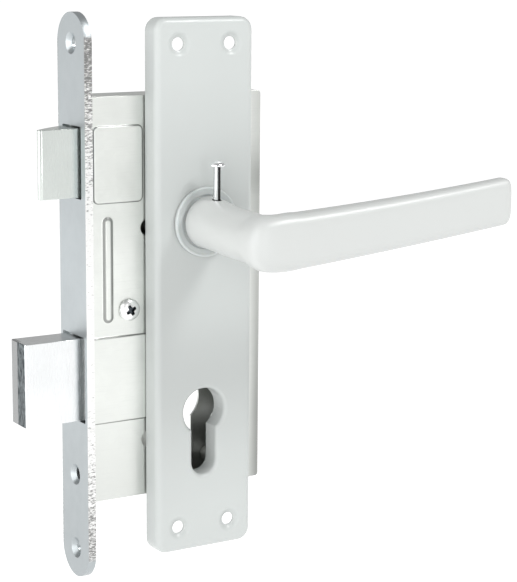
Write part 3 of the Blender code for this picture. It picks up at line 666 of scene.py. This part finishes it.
def growing_rectangle(low, high, corner):
    """A rounded rectangle as a function of how far it is grown."""

    def loop_at(grow):
        grown_low, grown_high = (low[0] - grow, low[1] - grow), (high[0] + grow, high[1] + grow)
        return rounded_rectangle(grown_low, grown_high, corner + grow)

    return loop_at


def growing_slot(x, low, high, half):
    """An upright slot as a function of how far it is grown."""
    return lambda grow: upright_slot(x, low - grow, high + grow, half + grow)


def raised_pad(loop_at, slope=0.65):
    """A pressed pad: a fillet up from the sheet, a rounded shoulder and a flat top."""
    foot = 0.30
    rings = [at_y(loop_at(foot), SKIN_Y + 0.25), at_y(loop_at(foot), SKIN_Y + 0.03)]
    for share in (0.2, 0.4, 0.6, 0.8):
        lift = share * share * (3 - 2 * share)
        rings.append(at_y(loop_at(foot - slope * share), SKIN_Y - PAD_HEIGHT * lift))
    rings.append(at_y(loop_at(0.10 - slope), SKIN_Y - PAD_HEIGHT))
    return loft(rings)


def make_case_cover():
    """The cover sheet, with a pad over the latch, a pad over the deadbolt and a long rib."""
    outline = rounded_rectangle((COVER_LOW.x, COVER_LOW.z), (COVER_HIGH.x, COVER_HIGH.z), 1.2, 6)
    cover = new_object("case_cover_sheet", prism("Y", [outline], SKIN_Y, COVER_HIGH.y))
    round_edges(cover, 0.15, 2, 60)
    latch_pad = growing_rectangle((COVER_LOW.x + 1.4, 36.4), (24.7, 64.4), 2.0)
    bolt_pad = growing_rectangle((COVER_LOW.x + 0.5, -45.4), (62.0, -13.1), 0.9)
    rib, rib_slope = growing_slot(10.4, -7.9, 31.6, 2.2), 1.7
    join(cover, raised_pad(latch_pad), raised_pad(bolt_pad), raised_pad(rib, rib_slope))
    screw_hole_r = 2.0
    holes = [euro_profile(CASE_KEYHOLE_PLAY), circle((AXIS_X, AXIS_Z), HUB_HOLE_R, 64)]
    holes += [circle((place.x, place.z), FIXING_R) for place in FIXING_HOLES]
    holes += [circle((place.x, place.z), screw_hole_r, 24) for place in SCREWS]
    for hole in holes:
        cut(cover, prism("Y", [hole], COVER_LOW.y - 1.0, COVER_HIGH.y + 1.0))
    shade(cover, 40)
    finish_piece(cover, "lock_case", "zinc_sheet", SURFACES["zinc_sheet"], "case_cover")


def make_case_body():
    """The folded tray, open towards the cover, with bolt windows in front and the holes in its back."""
    wall, sheet, window_slack, screw_way_r = 1.5, 1.0, 0.4, 2.8
    outline = rounded_rectangle((BODY_LOW.x, BODY_LOW.z), (BODY_HIGH.x, BODY_HIGH.z), 1.2, 6)
    body = new_object("case_tray", prism("Y", [outline], BODY_LOW.y, BODY_HIGH.y))
    round_edges(body, 0.7, 4, 60)
    inner = rounded_rectangle(
        (BODY_LOW.x + wall, BODY_LOW.z + wall), (BODY_HIGH.x - wall, BODY_HIGH.z - wall), 0.8, 4
    )
    cut(body, prism("Y", [inner], BODY_LOW.y - 2.0, BODY_HIGH.y - sheet))
    front_wall = (BODY_LOW.x - 1.0, BODY_LOW.x + 2.0)
    for z, half in ((LATCH_Z, LATCH_HALF), (BOLT_Z, BOLT_HALF_Z)):
        reach = half + window_slack
        cut(body, block(front_wall, (-8.0, 6.4), (z - reach, z + reach)))
    holes = [euro_profile(CASE_KEYHOLE_PLAY), circle((AXIS_X, AXIS_Z), HUB_HOLE_R)]
    holes += [circle((place.x, place.z), FIXING_R) for place in FIXING_HOLES]
    for hole in holes:
        cut(body, prism("Y", [hole], 0.0, BODY_HIGH.y + 1.0))
    cut(body, prism("X", [circle((0.0, CYLINDER_SCREW_Z), screw_way_r)], *front_wall))
    round_edges(body, 0.12, 1, 60)
    shade(body, 40)
    finish_piece(body, "lock_case", "zinc_sheet", SURFACES["zinc_sheet"], "case_body")


def cross(centre, arm, half, turn):
    """The outline of a crosshead recess, turned by some degrees."""
    points = []
    inner = half * 1.4
    for quarter_turn in range(4):
        angle = radians(turn + 90 * quarter_turn)
        c, s = cos(angle), sin(angle)
        for across, out in ((-half, arm), (half, arm), (inner, inner)):
            points.append((centre[0] + out * c - across * s, centre[1] + out * s + across * c))
    return points


def make_cover_screws():
    """Pan-head screws with a crosshead recess, each turned the same way."""
    head_r, rim, crown, shank_r = 4.1, 0.5, 2.2, 1.6
    recess_turn = 28
    recess = ((2.4, 2.35, 0.62), (0.8, 1.5, 0.40))  # height above the seat, arm length and half width
    profile = [(0.01, -7.6), (shank_r, -7.0), (shank_r, 0.0), (head_r - 0.2, 0.0), (head_r, 0.2)]
    for i in range(9):
        angle = pi / 2 * i / 8
        profile.append((head_r * cos(angle), rim + (crown - rim) * sin(angle)))
    for number, place in enumerate(SCREWS, 1):
        head = turned((place.x, SCREW_SEAT, place.z), profile, steps=48)
        screw = new_object(f"pan_head_screw_{number}", head)
        loops = []
        for height, arm, half in recess:
            loops.append(at_y(cross((place.x, place.z), arm, half, recess_turn), SCREW_SEAT - height))
        cut(screw, loft(loops))
        shade(screw, 40)
        finish_piece(
            screw, "lock_case", "bright_zinc", SURFACES["bright_zinc"], f"cover_screw_{number}"
        )


# Bolts


def bolt_tail():
    """The flat tail: a slot for the guide stud, cam notches below and tumbler notches above."""
    low, high, front, half_thick = -33.5, -13.0, 7.0, 1.5
    slot_r, slot_z, slot_front, slot_back = 3.2, -20.0, 15.0, 37.0
    slot = arc((slot_back, slot_z), slot_r, -90, 90, 12) + arc((slot_front, slot_z), slot_r, 90, 270, 12)
    outline = [(front, low), (BOLT_HIGH.x, low), (BOLT_HIGH.x, high), (front, high)]
    tail = new_object("tail", prism("Y", [outline, slot], -half_thick, half_thick))
    through = (-3.0, 3.0)
    cam_notches, mouth_z, mouth_half, root_z, root_half = (29.5, 40.5), -35.0, 5.0, -28.3, 3.6
    tumbler_notches, notch_half, notch_depth = (10.5, 21.5, 32.5), 2.2, 1.8
    for x in cam_notches:
        notch = [(x - mouth_half, mouth_z), (x + mouth_half, mouth_z)]
        notch += [(x + root_half, root_z), (x - root_half, root_z)]
        cut(tail, prism("Y", [notch], *through))
    for x in tumbler_notches:
        cut(tail, block((x - notch_half, x + notch_half), through, (high - notch_depth, high + 1.0)))
    round_edges(tail, 0.12, 1, 50)
    return tail


def make_deadbolt():
    """The square bolt with a slightly rolled end, on its flat tail."""
    low_x, half, back = BOLT_LOW.x, BOLT_HALF_Y, 8.0
    end = [(low_x + 0.5, -half), (low_x + 0.12, -half + 0.35), (low_x, -half + 0.9), (low_x, 0.0)]
    end += [(low_x, 4.2), (low_x + 0.05, half - 0.8), (low_x + 0.3, half - 0.25), (low_x + 0.7, half)]
    outline = [(back, half), (back, -half)] + end
    bolt = new_object("deadbolt_block", prism("Z", [outline], BOLT_LOW.z, BOLT_HIGH.z))
    round_edges(bolt, 0.3, 3, 50)
    tail = bolt_tail()
    join(bolt, tail.data)
    bpy.data.objects.remove(tail, do_unlink=True)
    shade(bolt, 35)
    finish_piece(bolt, "bolt", "nickel_bolt", SURFACES["deadbolt"], "deadbolt")


def make_latch():
    """The sloped latch with a slightly bulged slope, its stem and the hook that the hub pulls."""
    low_x, half = LATCH_LOW.x, BOLT_HALF_Y
    low, high = LATCH_Z - LATCH_HALF, LATCH_Z + LATCH_HALF
    slope_start, slope_end, bulge = (-1.0, half), (low_x + 0.25, -4.1), 0.8
    slope = []
    for step in range(13):
        share = step / 12
        x = blend(slope_start[0], slope_end[0], share)
        y = blend(slope_start[1], slope_end[1], share)
        slope.append((x, y + bulge * 4 * share * (1 - share)))
    nose = arc((low_x + 0.9, -half + 1.1), 0.9, 150, 250, 6)
    outline = [(13.0, -half), (13.0, half)] + slope + nose + [(low_x + 1.4, -half)]
    latch = new_object("latch_block", prism("Z", [outline], low, high))
    round_edges(latch, 0.3, 3, 45)
    rod, hook_top, bar_foot, toe_foot, toe_top = 1.6, 57.4, 53.4, 40.8, 44.3
    stem = block((12.0, 41.0), (-rod, rod), (LATCH_Z - rod, LATCH_Z + rod))
    hook = [(40.0, LATCH_Z - rod), (42.3, LATCH_Z - rod), (42.3, bar_foot), (50.4, bar_foot)]
    hook += [(50.4, toe_top), (48.8, toe_top), (48.8, toe_foot), (53.8, toe_foot)]
    hook += [(53.8, hook_top), (40.0, hook_top)]
    join(latch, stem, prism("Y", [hook], -1.5, 1.5))
    shade(latch, 35)
    finish_piece(latch, "latch", "nickel_bolt", SURFACES["latch"], "latch_bolt")


# The backplate and its collar


def plate_loop(inset, corner):
    """The plate's outline, drawn in all round."""
    low = (PLATE_LOW.x + inset, PLATE_LOW.z + inset)
    high = (PLATE_HIGH.x - inset, PLATE_HIGH.z - inset)
    return rounded_rectangle(low, high, corner, 12)


def plate_shell(inset, back, front, edge, corner, steps):
    """A block in the plate's outline, whose front edge is rounded."""
    rings = [at_y(plate_loop(inset, corner), back)]
    for inward, upward in quarter(steps):
        loop = plate_loop(inset + edge * inward, max(corner - edge * inward, 0.6))
        rings.append(at_y(loop, front + edge * (1 - upward)))
    return loft(rings)


def dished_hole(x, z, front):
    """A cutter for a screw hole in a soft dish."""
    hole, dish, depth, softness = 2.4, 4.8, 1.2, 1.7
    profile = [(hole, -6.0), (hole, -depth)]
    for i in range(1, 9):
        share = i / 8
        profile.append((blend(hole + 0.3, dish, share), -depth * (1 - share) ** softness))
    profile += [(dish + 0.6, 0.12), (dish + 0.6, 1.0)]
    return turned((x, front, z), profile)


def keyhole_cutter(front):
    """A cutter for the keyhole, whose front edge is rounded over."""
    rim, play = 1.6, PLATE_KEYHOLE_PLAY
    rings = [at_y(euro_profile(play), PLATE_HIGH.y + 1.0), at_y(euro_profile(play), front + rim)]
    for inward, upward in quarter(7)[1:]:
        rings.append(at_y(euro_profile(play + rim * inward), front + rim * (1 - upward)))
    rings.append(at_y(euro_profile(play + rim + 0.15), front - 1.0))
    return loft(rings)


def make_backplate():
    """The hollow plate, with a walled keyhole, the neck's bore and four dished screw holes."""
    front, back = PLATE_LOW.y, PLATE_HIGH.y
    sheet, edge, inner_edge, corner, bore_r = 1.8, 2.4, 1.2, 5.0, 9.7
    plate = new_object("backplate_shell", plate_shell(0.0, back, front, edge, corner, 10))
    cut(plate, plate_shell(sheet, back + 1.0, front + sheet, inner_edge, corner - sheet, 4))
    wall = euro_profile(PLATE_KEYHOLE_PLAY + KEYHOLE_WALL)
    join(plate, prism("Y", [wall], front + 1.0, back - 0.3))
    cut(plate, turned((AXIS_X, back, AXIS_Z), [(bore_r, -2.0), (bore_r, back - front + 2.0)]))
    cut(plate, keyhole_cutter(front))
    centre_z = (PLATE_LOW.z + PLATE_HIGH.z) / 2
    hole_x, hole_z = 10.8, 90.5
    for side in (-hole_x, hole_x):
        for end in (-hole_z, hole_z):
            cut(plate, dished_hole(AXIS_X + side, centre_z + end, front))
    shade(plate, 50)
    finish_piece(plate, "lock_case", "white_plate", SURFACES["white_plate"], "backplate")


def make_collar():
    """The nylon bush round the neck: a low flange with a rounded rim and a lip at the bore."""
    sleeve, bore_r, sleeve_r, flange_r, rim_r = 2.6, 8.3, 9.4, 13.0, 0.4
    seat = COLLAR_HIGH.y - sleeve
    profile = [(bore_r, -sleeve), (sleeve_r, -sleeve), (sleeve_r, 0.0)]
    profile += [(flange_r - 0.1, 0.0), (flange_r, 0.15)]
    for angle in (0, 25, 50, 75, 90):
        out, up = rim_r * cos(radians(angle)), rim_r * sin(radians(angle))
        profile.append((flange_r - rim_r + out, 1.0 + up))
    profile += [(12.2, 1.38), (11.8, 1.15), (11.5, 1.02), (10.3, 0.95)]
    profile += [(10.0, 0.8), (9.9, 0.5), (bore_r, 0.4)]
    mesh = turned((AXIS_X, seat, AXIS_Z), profile, steps=96, closed=True)
    collar = new_object("neck_bush", mesh)
    shade(collar, 45)
    finish_piece(collar, "lock_case", "white_nylon", SURFACES["white_nylon"], "neck_collar")


# The lever and its pin. The neck runs towards -Y and bends into the arm, which runs along X.
# Half sizes are across the section and up it, and a section power above 2 squares it off.

JOURNAL_R = 8.0
NECK_R = 9.6
SHOULDER_Y = -18.5
NECK_START_Y = -22.0
WAIST_Y = -36.0
WAIST_Z = 27.3
WAIST_HALF_UP = 9.0
BEND_Z = 26.9
BEND_INNER_R = 1.5
BEND_SWELL = 0.5
CORNER_POWER = 6.0
SECTION_POWER = 3.4
ARM_Y = -61.5
ARM_START_HALF_ACROSS = 6.3
ARM_START_HALF_UP = 9.9
ARM_END_HALF_ACROSS = 4.6
ARM_END_HALF_UP = 8.9
ARM_START_Z = 26.3
ARM_END_Z = 35.0
ARM_SAG = 0.6
ARM_WAIST = 0.15
TIP_ROUND = 3.0
RING_POINTS = 72
BEND_Y = ARM_Y + BEND_INNER_R + ARM_START_HALF_ACROSS


def superellipse(centre, across, half_across, half_up, power):
    """A ring of points round a centre, flattened towards a rectangle as the power rises above 2."""
    ring = []
    for i in range(RING_POINTS):
        angle = 2 * pi * i / RING_POINTS
        c, s = cos(angle), sin(angle)
        u = half_across * abs(c) ** (2 / power) * (1 if c >= 0 else -1)
        v = half_up * abs(s) ** (2 / power) * (1 if s >= 0 else -1)
        ring.append(Vector(centre) + Vector(across) * u + Vector((0, 0, v)))
    return ring


def arm_z(x):
    """The height of the arm's middle, which rises towards the tip and sags a little on the way."""
    share = (x - AXIS_X) / (LEVER_HIGH.x - AXIS_X)
    return blend(ARM_START_Z, ARM_END_Z, share) - ARM_SAG * 4 * share * (1 - share)


def neck_rings():
    """From the journal in the collar, over the shoulder and the waist, to the bend."""
    stations = [(-11.6, JOURNAL_R - 0.4), (-12.0, JOURNAL_R), (-12.7, JOURNAL_R), (-12.7, 7.2)]
    stations += [(-14.0, 7.2), (-14.0, JOURNAL_R), (SHOULDER_Y, JOURNAL_R), (SHOULDER_Y, NECK_R - 0.5)]
    stations += [(SHOULDER_Y - 0.15, NECK_R - 0.15), (SHOULDER_Y - 0.5, NECK_R), (NECK_START_Y, NECK_R)]
    rings = [superellipse((AXIS_X, y, AXIS_Z), (1, 0, 0), r, r, 2.0) for y, r in stations]
    to_waist = (WAIST_Y - NECK_START_Y) / (BEND_Y - NECK_START_Y)
    for i in range(1, 15):
        share = i / 15
        y = blend(NECK_START_Y, BEND_Y, share)
        if share < to_waist:
            part = share / to_waist
            z, up = blend(AXIS_Z, WAIST_Z, part), blend(NECK_R, WAIST_HALF_UP, part * (2 - part))
        else:
            part = (share - to_waist) / (1 - to_waist)
            z, up = blend(WAIST_Z, BEND_Z, part), WAIST_HALF_UP
        rings.append(superellipse((AXIS_X, y, z), (1, 0, 0), NECK_R, up, 2.0))
    return rings


def bend_rings():
    """A quarter turn from the neck to the arm round a tight inner corner. Also gives the x where it ends."""
    neck_span = BEND_INNER_R + 2 * NECK_R
    arm_span = BEND_INNER_R + 2 * ARM_START_HALF_ACROSS
    pivot_x = AXIS_X + BEND_INNER_R + NECK_R
    steps = 36
    rings = []
    for step in range(steps + 1):
        share = step / steps
        c, s = cos(pi / 2 * share), sin(pi / 2 * share)
        span = ((c / neck_span) ** CORNER_POWER + (s / arm_span) ** CORNER_POWER) ** (-1 / CORNER_POWER)
        half_across = (span - BEND_INNER_R) / 2
        middle = BEND_INNER_R + half_across
        x, y = pivot_x - middle * c, BEND_Y - middle * s
        turn = sin(pi / 2 * share)
        centre = (x, y, blend(BEND_Z, arm_z(x), turn))
        half_up = blend(WAIST_HALF_UP, ARM_START_HALF_UP, turn) + BEND_SWELL * sin(pi * share)
        power = blend(2.0, SECTION_POWER, turn)
        rings.append(superellipse(centre, (c, s, 0), half_across, half_up, power))
    return rings, pivot_x


def arm_rings(start_x):
    """The flattened arm, slimmer towards a rounded tip."""
    tip_start = LEVER_HIGH.x - TIP_ROUND
    tip_shrink = 2.4
    rings = []
    for step in range(1, 31):
        share = step / 30
        x = blend(start_x, tip_start, share)
        across = blend(ARM_START_HALF_ACROSS, ARM_END_HALF_ACROSS, share)
        waist = ARM_WAIST * 4 * share * (1 - share)
        up = blend(ARM_START_HALF_UP, ARM_END_HALF_UP, share) - waist
        rings.append(superellipse((x, ARM_Y, arm_z(x)), (0, 1, 0), across, up, SECTION_POWER))
    for inward, outward in quarter(12)[1:]:
        x = tip_start + TIP_ROUND * outward
        shrink = tip_shrink * inward
        across, up = ARM_END_HALF_ACROSS - shrink, ARM_END_HALF_UP - shrink
        rings.append(superellipse((x, ARM_Y, arm_z(x)), (0, 1, 0), across, up, SECTION_POWER))
    return rings


def make_lever():
    """The lever, with a square socket for the spindle and an upright hole for the pin."""
    bend, arm_x = bend_rings()
    lever = new_object("lever_casting", loft(neck_rings() + bend + arm_rings(arm_x)))
    half, hole_r = 4.3, 1.8
    across, up = (AXIS_X - half, AXIS_X + half), (AXIS_Z - half, AXIS_Z + half)
    socket = block(across, (SPINDLE_LOW.y - 0.6, -9.0), up)
    pin_hole = turned((PIN_X, PIN_Y, AXIS_Z), [(hole_r, -8.4), (hole_r, 14.0)], "Z", 32)
    cut(lever, socket, pin_hole)
    shade(lever, 60)
    finish_piece(lever, "lever", "white_lever", SURFACES["white_lever"], "lever_handle")


def make_pin():
    """The mushroom-headed drive pin, still standing out of the neck."""
    head_r, shank_r, rim_h = 3.0, 1.35, 0.35
    seat = PIN_HIGH.z - PIN_CROWN
    profile = [(0.3, PIN_LOW.z - seat), (0.8, PIN_LOW.z - seat), (shank_r, PIN_LOW.z + 1.0 - seat)]
    profile += [(shank_r, -0.25), (shank_r + 0.25, 0.0), (head_r - 0.35, 0.0), (head_r - 0.05, 0.15)]
    for i in range(11):
        angle = pi / 2 * i / 10
        profile.append((head_r * cos(angle), rim_h + (PIN_CROWN - rim_h) * sin(angle)))
    pin = new_object("mushroom_pin", turned((PIN_X, PIN_Y, seat), profile, "Z", 48))
    shade(pin, 50)
    finish_piece(pin, "pin", "chrome", SURFACES["chrome"], "handle_pin")


# Springs

WIRE_SIDES = 8
COIL_STEPS = 24


def tube(points, sides, wire_r):
    """A round wire through points. Each point has a direction square to the wire's run there."""
    rings = []
    last = len(points) - 1
    turns = [2 * pi * k / WIRE_SIDES for k in range(WIRE_SIDES)]
    for i, (point, side) in enumerate(zip(points, sides)):
        run = (points[min(i + 1, last)] - points[max(i - 1, 0)]).normalized()
        other = run.cross(side).normalized()
        rings.append([point + side * wire_r * cos(t) + other * wire_r * sin(t) for t in turns])
    return loft(rings)


def make_coil(node, wire_r, turns):
    """A compression spring along X."""
    low, high = box_mm(node)
    centre_z, radius = (low.z + high.z) / 2, (high.y - low.y) / 2 - wire_r
    points, sides = [], []
    count = turns * COIL_STEPS
    for i in range(count + 1):
        angle = 2 * pi * i / COIL_STEPS
        side = Vector((0.0, cos(angle), sin(angle)))
        x = blend(low.x + wire_r, high.x - wire_r, i / count)
        points.append(Vector((x, 0.0, centre_z)) + side * radius)
        sides.append(side)
    spring = new_object(f"{node}_wire", tube(points, sides, wire_r))
    shade(spring)
    finish_piece(spring, "lock_case", "spring_steel", SURFACES["spring_steel"], node)
    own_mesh(spring)


def make_tumbler_spring():
    """A bent wire that presses the tumbler down."""
    wire_r, y = 0.4, 2.95
    bends = ((70.0, 3.0), (69.2, -0.4), (66.0, -2.4), (58.0, -4.2), (48.0, -6.0), (38.0, -7.2))
    points = [Vector((x, y, z)) for x, z in bends]
    sides = [Vector((0.0, 1.0, 0.0))] * len(points)
    spring = new_object("tumbler_spring_wire", tube(points, sides, wire_r))
    shade(spring)
    finish_piece(spring, "lock_case", "spring_steel", SURFACES["spring_steel"], "tumbler_spring")
    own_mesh(spring)


def dress_kept_nodes():
    """Gives the pieces that keep their own shape the finish of their material slot."""
    slots = {part["node"]: part["material_slot"] for part in RECORD["subparts"]}
    for name, node in frame["nodes"].items():
        if node.hide_render:
            continue
        node.data.materials.clear()
        node.data.materials.append(SURFACES[slots[name]])


# The studio. Angles are in degrees, the sensor and lens in millimetres and the rest in metres

CAMERA_PLACE = (-0.29167, -0.60379, 0.13313)
CAMERA_LENS = 115.05
CAMERA_SENSOR = 36.0
CAMERA_YAW, CAMERA_PITCH, CAMERA_ROLL = 31.576, -10.914, 0.4618
FLOOR_DROP = 0.16
FLOOR_HALF = 40.0

# Name, place and size in metres, and power in watts
LIGHTS = (
    ("key", (-1.1, -0.35, 0.3), (1.8, 1.6), 17.0),
    ("front", (0.05, -1.3, 0.05), (0.16, 1.2), 2.0),
    ("over", (0.55, -0.6, 0.8), (0.3, 0.3), 6.0),
)
LIGHT_TARGET = (0.06, -0.02, 0.0)


def make_camera():
    """The yaw turns from +Y towards +X, the pitch is above level, and the roll is about the view."""
    data = bpy.data.cameras.new("camera")
    data.sensor_fit = "VERTICAL"
    data.sensor_height = CAMERA_SENSOR
    data.lens = CAMERA_LENS
    camera = new_object("camera", data)
    yaw, pitch, roll = radians(CAMERA_YAW), radians(CAMERA_PITCH), radians(CAMERA_ROLL)
    look = Vector((sin(yaw) * cos(pitch), cos(yaw) * cos(pitch), sin(pitch)))
    level = Vector((cos(yaw), -sin(yaw), 0.0))
    upright = level.cross(look)
    right = cos(roll) * level + sin(roll) * upright
    up = cos(roll) * upright - sin(roll) * level
    turn = Matrix((right, up, -look)).transposed().to_4x4()
    camera.matrix_world = Matrix.Translation(CAMERA_PLACE) @ turn
    bpy.context.scene.camera = camera


def area_light(name, place, size, power):
    """A rectangular white light that faces the lock."""
    data = bpy.data.lights.new(name, "AREA")
    data.shape = "RECTANGLE"
    data.size, data.size_y = size
    data.energy = power
    light = new_object(name, data)
    light.location = place
    light.rotation_euler = (Vector(LIGHT_TARGET) - Vector(place)).to_track_quat("-Z", "Y").to_euler()


def make_world():
    """An even white studio, dimmer overhead."""
    world = bpy.data.worlds.new("studio")
    world.use_nodes = True
    tree = world.node_tree
    background = tree.nodes["Background"]
    direction = tree.nodes.new("ShaderNodeTexCoord")
    split = tree.nodes.new("ShaderNodeSeparateXYZ")
    background.inputs["Color"].default_value = (1.0, 1.0, 1.0, 1.0)
    tree.links.new(direction.outputs["Generated"], split.inputs[0])
    shade_by_height = tree.nodes.new("ShaderNodeMapRange")
    for label, value in (("From Min", 0.0), ("From Max", 0.25), ("To Min", 0.9), ("To Max", 0.4)):
        shade_by_height.inputs[label].default_value = value
    tree.links.new(split.outputs["Z"], shade_by_height.inputs["Value"])
    tree.links.new(shade_by_height.outputs["Result"], background.inputs["Strength"])
    bpy.context.scene.world = world


def make_floor():
    """A wide pale floor below the lock, which glows a little so that it stays white."""
    builder = bmesh.new()
    bmesh.ops.create_grid(builder, x_segments=1, y_segments=1, size=FLOOR_HALF)
    floor = new_object("floor", mesh_from(builder))
    floor.location = (0.0, 0.0, FOREND_LOW.z * MM - FLOOR_DROP)
    s = Surface("floor_white", 0.0)
    s.shader.inputs["Emission Color"].default_value = (1.0, 1.0, 1.0, 1.0)
    s.shader.inputs["Emission Strength"].default_value = 0.85
    tone = s.mix(s.noise(300.0), (0.47, 0.47, 0.47), (0.50, 0.50, 0.50))
    floor.data.materials.append(s.done(tone, s.remap(s.noise(50.0), 0.0, 1.0, 0.85, 0.95)))


def make_studio():
    make_camera()
    make_world()
    make_floor()
    for light in LIGHTS:
        area_light(*light)
    bpy.context.scene.view_settings.view_transform = "Standard"


make_studio()
make_forend()
make_case_body()
make_case_cover()
make_cover_screws()
make_deadbolt()
make_latch()
make_backplate()
make_collar()
make_lever()
make_pin()
make_coil("latch_spring", 0.4, 8)
make_coil("follower_spring", 0.45, 6)
make_tumbler_spring()
dress_kept_nodes()
